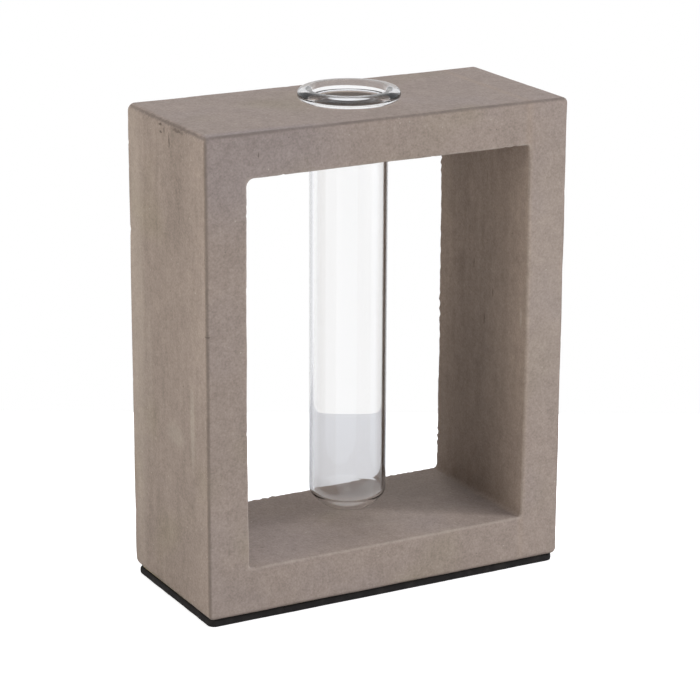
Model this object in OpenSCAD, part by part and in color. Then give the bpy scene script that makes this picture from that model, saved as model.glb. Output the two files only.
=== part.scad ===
// Concrete vase: a cast concrete frame with an open window, carried on a soft base pad,
// and a glass test tube that hangs by its rim in a hole through the frame's top bar.
// Units are millimetres. The origin is the centre of the pad's underside, +Z is up and
// the window looks along Y.

/* [Concrete frame] */
// Width of the frame
frame_w = 125; // [110:1:150]
// Depth of the frame, front to back
frame_d = 55; // [48:1:80]
// Height of the concrete from its underside to its top
frame_h = 151; // [140:1:180]
// Thickness of each side wall
side_t = 14; // [11:0.5:18]
// Thickness of the top bar that carries the tube
top_t = 14; // [11:0.5:18]
// Thickness of the bottom bar
bottom_t = 15; // [11:0.5:20]
// Rounding of the outer edges
edge_r = 1.6; // [0.8:0.1:3]
// Rounding of the window's two upper corners
window_top_r = 2; // [1:0.5:6]
// Rounding of the window's two lower corners
window_bottom_r = 1.2; // [0.6:0.2:4]

/* [Glass tube] */
// Outer diameter of the tube
tube_od = 24.5; // [20:0.5:28]
// Thickness of the tube's wall
tube_wall = 1.2; // [0.9:0.1:2]
// How far the rim stands out from the tube all round
rim_overhang = 3.75; // [3:0.25:5]
// Height of the rim, which is fully rounded
rim_h = 3.8; // [3:0.1:4.2]
// Gap between the tube's closed end and the bottom bar
tube_floor_gap = 2.4; // [1:0.1:8]
// Outer radius of the closed end's wide middle, its crown
end_crown_r = 14.5; // [14.5:0.5:24]
// Outer radius of the shoulder that joins the crown to the tube's wall
end_shoulder_r = 3.25; // [2.5:0.25:6]

/* [Hole for the tube] */
// Clearance all round the tube in its hole
hole_clearance = 0.75; // [0.4:0.05:1.2]
// Bevel on both lips of the hole
hole_lip = 0.5; // [0.2:0.1:0.8]

/* [Base pad] */
// Thickness of the foam pad
pad_t = 2.3; // [1.5:0.1:5]
// How far the pad stays inside the concrete's outline
pad_inset = 0.6; // [0.2:0.1:3]
// Rounding of the pad's corners, seen from above
pad_corner_r = 2.5; // [1:0.5:6]

/* [Adhesive film] */
// Thickness of the adhesive between the pad and the concrete
film_t = 0.2; // [0.1:0.05:0.4]
// How far the adhesive stays inside the pad's outline
film_inset = 1; // [0.4:0.2:3]

/* [Hidden] */
$fn = 96;

// Overrun of every cut past the face that it breaks through
overrun = 1;

// Levels, from the pad's underside up
film_z = pad_t;
frame_z = film_z + film_t;
sill_z = frame_z + bottom_t;
frame_top_z = frame_z + frame_h;
lintel_z = frame_top_z - top_t;

// Window in the frame
window_w = frame_w - 2 * side_t;
window_h = lintel_z - sill_z;

// Tube and its hole
tube_r = tube_od / 2;
bore_r = tube_r - tube_wall;
hole_r = tube_r + hole_clearance;
rim_r = tube_r + rim_overhang;
bead_r = rim_h / 2;
bead_z = frame_top_z + bead_r;

// Closed end of the tube: the centres of the crown and the shoulder in the half section,
// and the angle in degrees that the crown takes up on each side of the middle
end_z = sill_z + tube_floor_gap;
crown_z = end_z + end_crown_r;
shoulder_x = tube_r - end_shoulder_r;
crown_turn = asin(shoulder_x / (end_crown_r - end_shoulder_r));
shoulder_z = crown_z - (end_crown_r - end_shoulder_r) * cos(crown_turn);

// Outlines of the pad and of the film above it
pad_w = frame_w - 2 * pad_inset;
pad_d = frame_d - 2 * pad_inset;
film_w = pad_w - 2 * film_inset;
film_d = pad_d - 2 * film_inset;
film_corner_r = max(pad_corner_r - film_inset, pad_corner_r / 2);

// Flat rectangle centred on the origin, with one radius for its two lower corners and
// another for its two upper ones
module rounded_rectangle(w, h, lower_r, upper_r) {
    difference() {
        square([w, h], center = true);
        for (side = [-1, 1]) {
            rectangle_corner(side * w / 2, -h / 2, side, -1, lower_r);
            rectangle_corner(side * w / 2, h / 2, side, 1, upper_r);
        }
    }
}

// What rounding takes off one corner of a flat rectangle: a square about the corner, less
// the circle that touches both sides of the rectangle there
module rectangle_corner(x, y, side_x, side_y, r) {
    difference() {
        translate([x, y])
            square([2 * r, 2 * r], center = true);
        translate([x - side_x * r, y - side_y * r])
            circle(r = r);
    }
}

// Flat slab with rounded corners, standing on z = 0
module rounded_slab(w, d, h, r) {
    linear_extrude(height = h)
        rounded_rectangle(w, d, r, r);
}

// The frame's outer block with all its edges rounded: what three rounded bars, one along
// each axis, have in common
module concrete_block() {
    intersection() {
        rounded_slab(frame_w, frame_d, frame_h, edge_r);
        translate([0, frame_d / 2, frame_h / 2])
            rotate([90, 0, 0])
                rounded_slab(frame_w, frame_h, frame_d, edge_r);
        translate([-frame_w / 2, 0, frame_h / 2])
            rotate([90, 0, 90])
                rounded_slab(frame_d, frame_h, frame_w, edge_r);
    }
}

// The window's opening, from front to back
module window_cut() {
    translate([0, frame_d / 2 + overrun, sill_z + window_h / 2])
        rotate([90, 0, 0])
            linear_extrude(height = frame_d + 2 * overrun)
                rounded_rectangle(window_w, window_h, window_bottom_r, window_top_r);
}

// The hole through the top bar, with a bevelled lip above and below
module tube_hole() {
    translate([0, 0, lintel_z - overrun])
        cylinder(r = hole_r, h = top_t + 2 * overrun);
    translate([0, 0, frame_top_z - hole_lip])
        cylinder(r1 = hole_r, r2 = hole_r + hole_lip + overrun, h = hole_lip + overrun);
    translate([0, 0, lintel_z - overrun])
        cylinder(r1 = hole_r + hole_lip + overrun, r2 = hole_r, h = hole_lip + overrun);
}

module concrete_frame() {
    color("#9a8c82")
        difference() {
            translate([0, 0, frame_z])
                concrete_block();
            window_cut();
            tube_hole();
        }
}

// Filled half section of the tube's closed end, inside its outer face by inset: the crown in
// the middle, up to the line through both centres, and the shoulder beside it
module end_section(inset) {
    reach = 2 * end_crown_r;
    intersection() {
        translate([0, crown_z])
            circle(r = end_crown_r - inset);
        polygon([
            [0, shoulder_z],
            [shoulder_x, shoulder_z],
            [reach * sin(crown_turn), crown_z - reach * cos(crown_turn)],
            [0, crown_z - reach]
        ]);
    }
    translate([shoulder_x, shoulder_z])
        intersection() {
            circle(r = end_shoulder_r - inset);
            translate([0, -end_shoulder_r])
                square([end_shoulder_r, end_shoulder_r]);
        }
}

// The same with the straight wall above it, up to high_z
module closed_section(inset, high_z) {
    end_section(inset);
    translate([0, shoulder_z])
        square([tube_r - inset, high_z - shoulder_z]);
}

// Half section of the tube in its own plane: x is the radius and y the height
module tube_section() {
    difference() {
        closed_section(0, bead_z);
        closed_section(tube_wall, bead_z + overrun);
    }
    translate([bore_r + bead_r, bead_z])
        circle(r = bead_r);
    translate([rim_r - bead_r, bead_z])
        circle(r = bead_r);
    translate([bore_r + bead_r, bead_z - bead_r])
        square([rim_r - bore_r - 2 * bead_r, rim_h]);
    translate([bore_r + tube_wall / 2, bead_z - bead_r])
        square([rim_r - bead_r - bore_r - tube_wall / 2, bead_r]);
}

module glass_tube() {
    color("#dfe9ea", 0.45)
        rotate_extrude()
            tube_section();
}

module base_pad() {
    color("#26241f")
        rounded_slab(pad_w, pad_d, pad_t, pad_corner_r);
}

module adhesive_film() {
    color("#c9bd9a")
        translate([0, 0, film_z])
            rounded_slab(film_w, film_d, film_t, film_corner_r);
}

concrete_frame();
glass_tube();
base_pad();
adhesive_film();
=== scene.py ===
# %% [markdown]
# # A concrete vase with a hanging glass tube
#
# The real object is one casting of concrete, shaped like a picture frame that stands on a
# thin foam pad, and a test tube of clear glass that hangs by its rim in a hole through the
# top bar. Nearly all of its character is in two finishes: matt concrete with soft worn
# edges, and polished glass. So the work goes into the casting's edges and skin, and into
# what the glass can see around it.
#
# The imported model gives every size and place. We load it first and keep its box.

import math

import bmesh
import bpy
import numpy as np
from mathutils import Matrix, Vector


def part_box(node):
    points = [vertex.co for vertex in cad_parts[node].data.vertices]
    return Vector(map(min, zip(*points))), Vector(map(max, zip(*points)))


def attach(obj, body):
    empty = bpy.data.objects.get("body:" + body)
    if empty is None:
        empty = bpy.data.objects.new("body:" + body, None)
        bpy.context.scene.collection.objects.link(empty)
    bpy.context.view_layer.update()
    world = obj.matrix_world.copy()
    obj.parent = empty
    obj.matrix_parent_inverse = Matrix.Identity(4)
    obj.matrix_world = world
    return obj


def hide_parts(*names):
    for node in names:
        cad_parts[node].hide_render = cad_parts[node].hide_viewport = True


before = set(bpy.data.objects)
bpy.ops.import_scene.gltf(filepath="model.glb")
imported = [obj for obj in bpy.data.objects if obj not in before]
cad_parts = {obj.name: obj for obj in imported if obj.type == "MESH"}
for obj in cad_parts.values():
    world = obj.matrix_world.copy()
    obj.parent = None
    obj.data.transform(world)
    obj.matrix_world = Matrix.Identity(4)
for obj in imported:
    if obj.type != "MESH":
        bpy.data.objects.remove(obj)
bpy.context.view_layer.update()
MM = 0.001
CUBIC_CM = 1e-6

# %% [markdown]
# ## Sizes
#
# Blender works in metres here, and people think of a vase in millimetres, so lengths are
# written in millimetres and multiplied by `MM`. The boxes of the CAD nodes give the outer
# sizes. Only what a box can't tell is written down: wall thicknesses, the radius of a
# corner, the diameter of the hole.

# %% Sizes of the casting, the tube and the pad
casting_low, casting_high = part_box("concrete_frame")
tube_low, tube_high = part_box("glass_tube")
pad_low, pad_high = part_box("base_pad")

CASTING_WIDTH = casting_high[0] - casting_low[0]
CASTING_DEPTH = casting_high[1] - casting_low[1]
SIDE_WALL = 14 * MM
TOP_BAR = 14 * MM
BOTTOM_BAR = 15 * MM
SILL = casting_low[2] + BOTTOM_BAR
LINTEL = casting_high[2] - TOP_BAR
WINDOW_WIDTH = CASTING_WIDTH - 2 * SIDE_WALL

TUBE_RADIUS = 12.25 * MM
TUBE_WALL = 1.2 * MM
RIM_RADIUS = (tube_high[0] - tube_low[0]) / 2
RIM_HEIGHT = tube_high[2] - casting_high[2]
HOLE_RADIUS = 13 * MM
HOLE_LIP = 0.5 * MM

print("casting", [round(v / MM, 1) for v in (CASTING_WIDTH, CASTING_DEPTH, casting_high[2])])
print("rim", round(RIM_RADIUS / MM, 2), round(RIM_HEIGHT / MM, 2))

# %% [markdown]
# ## The casting's outlines
#
# A frame has two outlines, one round the outside and one round the window. If both have
# the same number of points, a row of faces can run from one to the other, over the front,
# through the window and back over the rear: the whole casting becomes one grid of four
# sided faces, like the skin of a ring. A grid like this bends cleanly, which a boolean's
# long thin triangles don't.
#
# `ring` walks round a rounded rectangle and gives each point with its outward direction.
# Each corner has a radius of its own, as the mould and years of handling left it. Points
# crowd together near the ends of each side, because that is where the edges are.

# %% Walk round a rounded rectangle
CORNER_STEPS = 8
LEVEL_STEPS = 112
UPRIGHT_STEPS = 132
END_CROWDING = 0.35


def crowded(steps):
    """Shares from 0 to 1, closer together towards both ends."""
    even = np.linspace(0, 1, steps + 1)
    return (1 - END_CROWDING) * even + END_CROWDING * (0.5 - 0.5 * np.cos(math.pi * even))


def heading(degrees):
    """The direction at this angle, anticlockwise from +X."""
    return np.array([math.cos(math.radians(degrees)), math.sin(math.radians(degrees))])


def ring(low, high, radii, level_steps=LEVEL_STEPS, upright_steps=UPRIGHT_STEPS):
    """Points and outward directions, anticlockwise from the lower left of a rounded rectangle.

    The radii are those of the lower right, upper right, upper left and lower left corner.
    """
    lower_right, upper_right, upper_left, lower_left = radii
    corners = [
        (np.array([high[0] - lower_right, low[1] + lower_right]), lower_right, -90),
        (np.array([high[0] - upper_right, high[1] - upper_right]), upper_right, 0),
        (np.array([low[0] + upper_left, high[1] - upper_left]), upper_left, 90),
        (np.array([low[0] + lower_left, low[1] + lower_left]), lower_left, 180),
    ]
    points, outward = [], []
    for i, (centre, radius, start) in enumerate(corners):
        last_centre, last_radius, last_start = corners[i - 1]
        side_start = last_centre + last_radius * heading(last_start + 90)
        side_end = centre + radius * heading(start)
        for share in crowded(upright_steps if i % 2 else level_steps)[:-1]:
            points.append(side_start + (side_end - side_start) * share)
            outward.append(heading(start))
        for step in range(CORNER_STEPS):
            turn = heading(start + 90 * step / CORNER_STEPS)
            points.append(centre + radius * turn)
            outward.append(turn)
    return np.array(points), np.array(outward)


FRONT_RADII = np.array([2, 2, 2, 2]) * MM
BACK_RADII = np.array([2.6, 2.4, 2.4, 2.6]) * MM
WINDOW_RADII = np.array([1.2, 1, 2.4, 0.9]) * MM

casting_box = (casting_low[0], casting_low[2]), (casting_high[0], casting_high[2])
front_points, outer_ways = ring(*casting_box, FRONT_RADII)
back_points, _ = ring(*casting_box, BACK_RADII)
window_box = (-WINDOW_WIDTH / 2, SILL), (WINDOW_WIDTH / 2, LINTEL)
window_points, window_ways = ring(*window_box, WINDOW_RADII)
RING_COUNT = len(front_points)
print("points round each outline:", RING_COUNT)

# %% [markdown]
# ## Edges that wander
#
# The mould's edges were sharp, but wet concrete slumps a little and handling rubs it, so
# no edge keeps one radius for long. `wander` is a smooth closed wave made of a few sines
# with seeded phases. Each edge's radius follows its own wave. The lower left corner at the
# back is rubbed the most, and the rear edge of the window is the most ragged: the mould
# leaked there and left small bites, which come and go in stretches.

# %% Radii that change along each edge
EDGE_R = 1.15 * MM
WINDOW_EDGE_R = 0.8 * MM
LEAST_RAGGED_R = 0.4 * MM
RUBBED_CORNER_R = 1.1 * MM
RUBBED_SPREAD_SHARE = 0.014
WINDOW_BOW = 0.35 * MM

SLOW_WAVES = range(3, 30, 4)
QUICK_WAVES = range(25, 120, 9)
RAGGED_WAVES = range(70, 200, 11)
OUTER_SLOW_SHARE, OUTER_QUICK_SHARE = 0.16, 0.05
WINDOW_SLOW_SHARE, WINDOW_QUICK_SHARE = 0.2, 0.1
RAGGED_MIDDLE_SHARE, RAGGED_SLOW_SHARE, BITE_SHARE = 1.6, 0.3, 0.75
STRETCH_LIMIT_SHARES = 0.1, 1.2


def wander(seed, waves):
    """A smooth closed wave round the ring, between about -1 and 1."""
    draw = np.random.default_rng(seed)
    turn = np.linspace(0, 2 * math.pi, RING_COUNT, endpoint=False)
    total = np.zeros(RING_COUNT)
    for wave in waves:
        total += draw.uniform(0.5, 1) * np.sin(wave * turn + draw.uniform(0, 2 * math.pi))
    return total / len(waves) ** 0.5


corner_distance = np.minimum(np.arange(RING_COUNT), RING_COUNT - np.arange(RING_COUNT)) / RING_COUNT
rubbed = np.exp(-((corner_distance / RUBBED_SPREAD_SHARE) ** 2))
in_stretches = np.clip(0.5 + 0.5 * wander(8, SLOW_WAVES), *STRETCH_LIMIT_SHARES)
bites = BITE_SHARE * in_stretches * wander(7, RAGGED_WAVES)

outer_shares = 1 + OUTER_SLOW_SHARE * wander(1, SLOW_WAVES) + OUTER_QUICK_SHARE * wander(2, QUICK_WAVES)
window_shares = 1 + WINDOW_SLOW_SHARE * wander(4, SLOW_WAVES) + WINDOW_QUICK_SHARE * wander(5, QUICK_WAVES)
ragged_shares = RAGGED_MIDDLE_SHARE + RAGGED_SLOW_SHARE * wander(6, SLOW_WAVES) + bites
edge_radii = {
    "outer_front": EDGE_R * outer_shares,
    "outer_back": EDGE_R * (1 + OUTER_SLOW_SHARE * wander(3, SLOW_WAVES)) + RUBBED_CORNER_R * rubbed,
    "window_front": WINDOW_EDGE_R * window_shares,
    "window_back": np.maximum(WINDOW_EDGE_R * ragged_shares, LEAST_RAGGED_R),
}

side_share = np.clip((window_points[:, 1] - SILL) / (LINTEL - SILL), 0, 1)
bow = WINDOW_BOW * 4 * side_share * (1 - side_share) * np.abs(window_ways[:, 0]) ** 4
window_points = window_points + window_ways * bow[:, None]
for name, radii in edge_radii.items():
    least, most = float(radii.min()) / MM, float(radii.max()) / MM
    print(name, "radius from", round(least, 2), "to", round(most, 2), "mm")

# %% [markdown]
# ## From outlines to rows
#
# Now we walk round the section of the frame: along the outside from back to front, round
# the edge, down the front face, round the window's edge, through the window to the rear,
# and home over the back face. Each step makes one closed row of points. `edge_rows` turns
# a quarter circle, and the same function serves all four edges.

# %% Rows of points round the section
WALL_STEPS = 52
HOLE_ROWS = 24
FACE_STEPS = 15
EDGE_STEPS = 6

FRONT = casting_low[1]
BACK = casting_high[1]


def row(flat, depth):
    """One closed row: points in the XZ plane, with their place along Y."""
    depth = np.broadcast_to(depth, RING_COUNT)
    return np.column_stack([flat[:, 0], depth, flat[:, 1]])


def edge_rows(flat_start, ways_start, depth_start, flat_turn, depth_turn, radius):
    """Rows round a quarter circle, without its first.

    With flat_turn they leave along Y and arrive along the flat ways, and without it the other
    way round.
    """
    made = []
    for step in range(1, EDGE_STEPS + 1):
        angle = math.pi / 2 * step / EDGE_STEPS
        across, along = 1 - math.cos(angle), math.sin(angle)
        share = (across, along) if flat_turn else (along, across)
        flat = flat_start + ways_start * (radius * share[0])[:, None]
        made.append(row(flat, depth_start + depth_turn * radius * share[1]))
    return made


def straight_rows(flat_a, depth_a, flat_b, depth_b, steps):
    """Rows from one closed row to another, without the first."""
    made = []
    for share in crowded(steps)[1:]:
        depth = depth_a + (depth_b - depth_a) * share
        made.append(row(flat_a + (flat_b - flat_a) * share, depth))
    return made


r = edge_radii
front_rim = front_points - outer_ways * r["outer_front"][:, None]
back_rim = back_points - outer_ways * r["outer_back"][:, None]
window_front = window_points + window_ways * r["window_front"][:, None]
window_back = window_points + window_ways * r["window_back"][:, None]
outer_start, outer_end = BACK - r["outer_back"], FRONT + r["outer_front"]
window_start, window_end = FRONT + r["window_front"], BACK - r["window_back"]

rows = [row(back_points, outer_start)]
rows += straight_rows(back_points, outer_start, front_points, outer_end, WALL_STEPS)
rows += edge_rows(front_points, -outer_ways, outer_end, True, -1, r["outer_front"])
rows += straight_rows(front_rim, FRONT, window_front, FRONT, FACE_STEPS)
rows += edge_rows(window_front, -window_ways, FRONT, False, 1, r["window_front"])
WINDOW_FIRST_ROW = len(rows) - 1
rows += straight_rows(window_points, window_start, window_points, window_end, WALL_STEPS)
rows += edge_rows(window_points, window_ways, window_end, True, 1, r["window_back"])
rows += straight_rows(window_back, BACK, back_rim, BACK, FACE_STEPS)
rows += edge_rows(back_rim, outer_ways, BACK, False, -1, r["outer_back"])[:-1]
ROW_COUNT = len(rows)
print("rows:", ROW_COUNT, "points:", ROW_COUNT * RING_COUNT)

# %% [markdown]
# ## The hole through the top bar
#
# The grid has a straight bar where the tube's hole should be. We leave out a square block
# of faces above and below, and join the two gaps with rings of points: from the upper
# square in to a circle, over a small round lip, down the wall, and out to the lower square.
# Sorting both squares by angle makes their points pair up.

# %% Grid faces, and the rings of the hole
HOLE_COLUMNS = 40
LIP_STEPS = 3
HOLE_WALL_STEPS = 10
FAN_STEPS = 5


def block(first_row, first_column):
    """Point numbers round a square block of the grid, in order."""
    last_row, last_column = first_row + HOLE_ROWS, first_column + HOLE_COLUMNS
    along = [(first_row, c) for c in range(first_column, last_column)]
    down = [(j, last_column) for j in range(first_row, last_row)]
    back = [(last_row, c) for c in range(last_column, first_column, -1)]
    up = [(j, first_column) for j in range(last_row, first_row, -1)]
    return [j * RING_COUNT + c for j, c in along + down + back + up]


def hole_angles(numbers, points):
    """Angle of each point of a block about the tube's axis, as if the block were square."""
    flat = points[numbers][:, :2]
    flat = flat / np.abs(flat).max(axis=0)
    return np.arctan2(flat[:, 1], flat[:, 0])


def fan(edge, circle):
    """Rings between a square of points and a circle of points, without either."""
    return [edge + (circle - edge) * (step / FAN_STEPS) for step in range(1, FAN_STEPS)]


def circle_points(angles, radius, height):
    """Points of a level circle about the tube's axis."""
    level = np.full(len(angles), height)
    return np.column_stack([radius * np.cos(angles), radius * np.sin(angles), level])


def lip_rings(angles, face, way):
    """Rings from the bar's face round the hole's lip to its wall, with way 1 for upwards."""
    made = []
    for step in range(LIP_STEPS + 1):
        turn = math.pi / 2 * step / LIP_STEPS
        radius = HOLE_RADIUS + HOLE_LIP * (1 - math.sin(turn))
        made.append(circle_points(angles, radius, face + way * HOLE_LIP * (1 - math.cos(turn))))
    return made


def hole_rings(upper, lower, angles):
    """All rings of the hole, from the upper square of points to the lower one, without either."""
    top, under = casting_high[2], LINTEL
    rings = fan(upper, circle_points(angles, HOLE_RADIUS + HOLE_LIP, top)) + lip_rings(angles, top, -1)
    for step in range(1, HOLE_WALL_STEPS):
        height = top - HOLE_LIP + (under + 2 * HOLE_LIP - top) * step / HOLE_WALL_STEPS
        rings.append(circle_points(angles, HOLE_RADIUS, height))
    rings += lip_rings(angles, under, 1)[::-1]
    return rings + fan(lower, circle_points(angles, HOLE_RADIUS + HOLE_LIP, under))[::-1]


# %% The casting as one mesh
def casting_mesh():
    """Points and faces of the whole casting."""
    points = np.concatenate(rows)
    top_column = LEVEL_STEPS + UPRIGHT_STEPS + 2 * CORNER_STEPS + (LEVEL_STEPS - HOLE_COLUMNS) // 2
    top_row = (WALL_STEPS - HOLE_ROWS) // 2
    blocks = [(top_row, top_column), (WINDOW_FIRST_ROW + top_row, top_column)]
    faces = []
    for j in range(ROW_COUNT):
        for c in range(RING_COUNT):
            if any(a <= j < a + HOLE_ROWS and b <= c < b + HOLE_COLUMNS for a, b in blocks):
                continue
            here, below = j * RING_COUNT, (j + 1) % ROW_COUNT * RING_COUNT
            beside = (c + 1) % RING_COUNT
            faces.append((here + c, here + beside, below + beside, below + c))

    squares = []
    for first_row, first_column in blocks:
        numbers = np.array(block(first_row, first_column))
        squares.append(numbers[np.argsort(hole_angles(numbers, points))])
    upper, lower = squares
    angles = hole_angles(upper, points)
    loops = [upper]
    for made in hole_rings(points[upper], points[lower], angles):
        loops.append(np.arange(len(points), len(points) + len(made)))
        points = np.concatenate([points, made])
    loops.append(lower)
    for above, below in zip(loops, loops[1:]):
        for k in range(len(above)):
            beside = (k + 1) % len(above)
            faces.append((above[k], above[beside], below[beside], below[k]))
    return points, faces


def scene_object(name, data):
    """A new object in the scene."""
    made = bpy.data.objects.new(name, data)
    bpy.context.scene.collection.objects.link(made)
    return made


def turn_outwards(thing):
    """Drops loose points, makes a closed mesh's faces point outwards, and shades them smooth."""
    work = bmesh.new()
    work.from_mesh(thing.data)
    bmesh.ops.delete(work, geom=[v for v in work.verts if not v.link_faces], context="VERTS")
    bmesh.ops.recalc_face_normals(work, faces=work.faces)
    if work.calc_volume(signed=True) < 0:
        bmesh.ops.reverse_faces(work, faces=work.faces)
    open_edges = sum(1 for e in work.edges if not e.is_manifold)
    volume = round(work.calc_volume(signed=True) / CUBIC_CM, 2)
    work.to_mesh(thing.data)
    work.free()
    thing.data.polygons.foreach_set("use_smooth", [True] * len(thing.data.polygons))
    print(thing.name, len(thing.data.polygons), "faces,", open_edges, "open edges,", volume, "cm3")


def solid_object(name, points, faces):
    """A smooth closed object from points and faces."""
    mesh = bpy.data.meshes.new(name)
    mesh.from_pydata([tuple(p) for p in points], [], [tuple(int(i) for i in f) for f in faces])
    made = scene_object(name, mesh)
    turn_outwards(made)
    return made


casting = solid_object("cast_concrete", *casting_mesh())

# %% [markdown]
# ## Where the edges are
#
# Edges are where a casting wears, chips and catches light, so both the shape and the
# finish want to know how near an edge each point is. We work it out once from the sizes
# and keep it on the mesh as two attributes, `outer_edge` and `window_edge`: 1 on an edge,
# falling to 0 a few millimetres away.

# %% Keep the nearness of an edge on the mesh
EDGE_REACH = 2.2 * MM


def points_of(mesh):
    """A mesh's points, one in each row."""
    flat = np.empty(len(mesh.vertices) * 3)
    mesh.vertices.foreach_get("co", flat)
    return flat.reshape(-1, 3)


def mark_edges(thing):
    x, y, z = points_of(thing.data).T
    from_faces = np.stack(
        [
            CASTING_WIDTH / 2 - np.abs(x),
            CASTING_DEPTH / 2 - np.abs(y),
            np.minimum(casting_high[2] - z, z - casting_low[2]),
        ]
    )
    nearest = np.sort(np.maximum(from_faces, 0), axis=0)
    outer = np.hypot(nearest[0], nearest[1])
    beside = np.maximum(np.abs(x) - WINDOW_WIDTH / 2, 0)
    above = np.maximum(np.maximum(z - LINTEL, SILL - z), 0)
    window = np.hypot(np.hypot(beside, above), from_faces[1])
    for name, distance in (("outer_edge", outer), ("window_edge", window)):
        nearness = np.exp(-distance / EDGE_REACH)
        kept = thing.data.attributes.new(name, "FLOAT", "POINT")
        kept.data.foreach_set("value", nearness.astype(np.float32))
        print(name, "from", round(float(nearness.min()), 2), "to", round(float(nearness.max()), 2))


mark_edges(casting)

# %% [markdown]
# ## The skin of the casting
#
# A cast face is never quite flat, and its edges lose small crumbs. Both follow the
# surface, so Geometry Nodes shape them. The tree below moves each point inwards along its
# normal: a slow noise gives a shallow wave all over, and a quicker noise, cut off at a
# threshold and multiplied by the edge attributes, takes crumbs from the edges. Points move
# only inwards, which keeps the casting inside its real size, but on a ragged edge a normal
# can lean the wrong way, so the few points that it pushed out are brought back.
#
# A few helpers come first, so that a tree reads like a recipe: `place` adds a node,
# `connect` feeds it, `sums` and `vectors` are arithmetic, and `split` takes a vector apart.

# %% Helpers for node trees
def connect(tree, node, inputs):
    """Feeds a node's inputs with values or other nodes' outputs."""
    for key, value in inputs.items():
        if isinstance(value, bpy.types.NodeSocket):
            tree.links.new(value, node.inputs[key])
        else:
            node.inputs[key].default_value = value


def place(tree, kind, inputs=None, **settings):
    """Adds a node, sets its options and feeds its inputs."""
    made = tree.nodes.new(kind)
    for name, value in settings.items():
        setattr(made, name, value)
    connect(tree, made, inputs or {})
    return made


def sums(tree, operation, *values):
    """One math node's output."""
    return place(tree, "ShaderNodeMath", dict(enumerate(values)), operation=operation).outputs[0]


def weigh(tree, value, weight):
    """A value times a weight."""
    return sums(tree, "MULTIPLY", value, weight)


def vectors(tree, operation, *values, output="Vector"):
    """One vector math node's output."""
    node = place(tree, "ShaderNodeVectorMath", dict(enumerate(values)), operation=operation)
    return node.outputs[output]


def split(tree, vector):
    """A vector's three parts."""
    return place(tree, "ShaderNodeSeparateXYZ", {0: vector}).outputs


def share_of(tree, value, low, high):
    """0 where the value is at or under low, 1 at or over high, smooth between."""
    feed = {"Value": value, "From Min": low, "From Max": high}
    return place(tree, "ShaderNodeMapRange", feed, interpolation_type="SMOOTHSTEP").outputs[0]


def noise_of(tree, vector, size, detail, seed):
    """Noise of a size in metres, from 0 to 1."""
    feed = {"Vector": vector, "W": seed, "Scale": sums(tree, "DIVIDE", 1.0, size), "Detail": detail}
    return place(tree, "ShaderNodeTexNoise", feed, noise_dimensions="4D").outputs[0]


def new_tree(name, kind, inputs, outputs):
    """A node group with named sockets. Returns the tree, what its input node gives, and its output node."""
    tree = bpy.data.node_groups.new(name, kind)
    for label, socket, value in inputs:
        made = tree.interface.new_socket(label, in_out="INPUT", socket_type="NodeSocket" + socket)
        if value is not None:
            made.default_value = value
    for label, socket in outputs:
        tree.interface.new_socket(label, in_out="OUTPUT", socket_type="NodeSocket" + socket)
    return tree, place(tree, "NodeGroupInput").outputs, place(tree, "NodeGroupOutput")


def end_tree(tree, given, result, geometry):
    """Ends a Geometry Nodes tree with real meshes and its finish."""
    real = place(tree, "GeometryNodeRealizeInstances", {"Geometry": geometry}).outputs[0]
    feed = {"Geometry": real, "Material": given["Finish"]}
    connect(tree, result, {0: place(tree, "GeometryNodeSetMaterial", feed).outputs[0]})


def grow(thing, tree, values):
    """Runs a Geometry Nodes tree on an object with these values, and keeps the result as its mesh."""
    modifier = thing.modifiers.new(tree.name, "NODES")
    modifier.node_group = tree
    for item in tree.interface.items_tree:
        if item.item_type == "SOCKET" and item.in_out == "INPUT" and item.name in values:
            modifier[item.identifier] = values[item.name]
    thing.update_tag()
    evaluated = thing.evaluated_get(bpy.context.evaluated_depsgraph_get())
    mesh = bpy.data.meshes.new_from_object(evaluated)
    thing.modifiers.remove(modifier)
    thing.data = mesh
    print(thing.name, "now has", len(mesh.polygons), "faces")


# %% The tree that gives the casting its skin
def cast_skin_tree():
    tree, given, result = new_tree(
        "cast skin",
        "GeometryNodeTree",
        [
            ("Geometry", "Geometry", None),
            ("Wave Depth", "Float", 0.1 * MM),
            ("Wave Size", "Float", 30 * MM),
            ("Crumb Depth", "Float", 0.5 * MM),
            ("Crumb Size", "Float", 4 * MM),
            ("Crumb Threshold", "Float", 0.6),
            ("Crumb Softness", "Float", 0.12),
            ("Seed", "Float", 0.0),
            ("Finish", "Material", None),
        ],
        [("Geometry", "Geometry")],
    )
    here = place(tree, "GeometryNodeInputPosition").outputs[0]
    wave = noise_of(tree, here, given["Wave Size"], 1.0, given["Seed"])
    crumb = noise_of(tree, here, given["Crumb Size"], 3.0, given["Seed"])
    threshold = given["Crumb Threshold"]
    crumb = share_of(tree, crumb, threshold, sums(tree, "ADD", threshold, given["Crumb Softness"]))
    outer, window = [
        place(tree, "GeometryNodeInputNamedAttribute", {"Name": name}, data_type="FLOAT").outputs[0]
        for name in ("outer_edge", "window_edge")
    ]
    on_edge = sums(tree, "POWER", sums(tree, "MAXIMUM", outer, window), 2.0)
    crumb = sums(tree, "MULTIPLY", weigh(tree, crumb, given["Crumb Depth"]), on_edge)
    inwards = sums(tree, "ADD", weigh(tree, wave, given["Wave Depth"]), crumb)
    feed = {0: place(tree, "GeometryNodeInputNormal").outputs[0], "Scale": weigh(tree, inwards, -1.0)}
    move = place(tree, "ShaderNodeVectorMath", feed, operation="SCALE").outputs[0]
    feed = {"Geometry": given["Geometry"], "Offset": move}
    end_tree(tree, given, result, place(tree, "GeometryNodeSetPosition", feed).outputs[0])
    return tree


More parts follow.
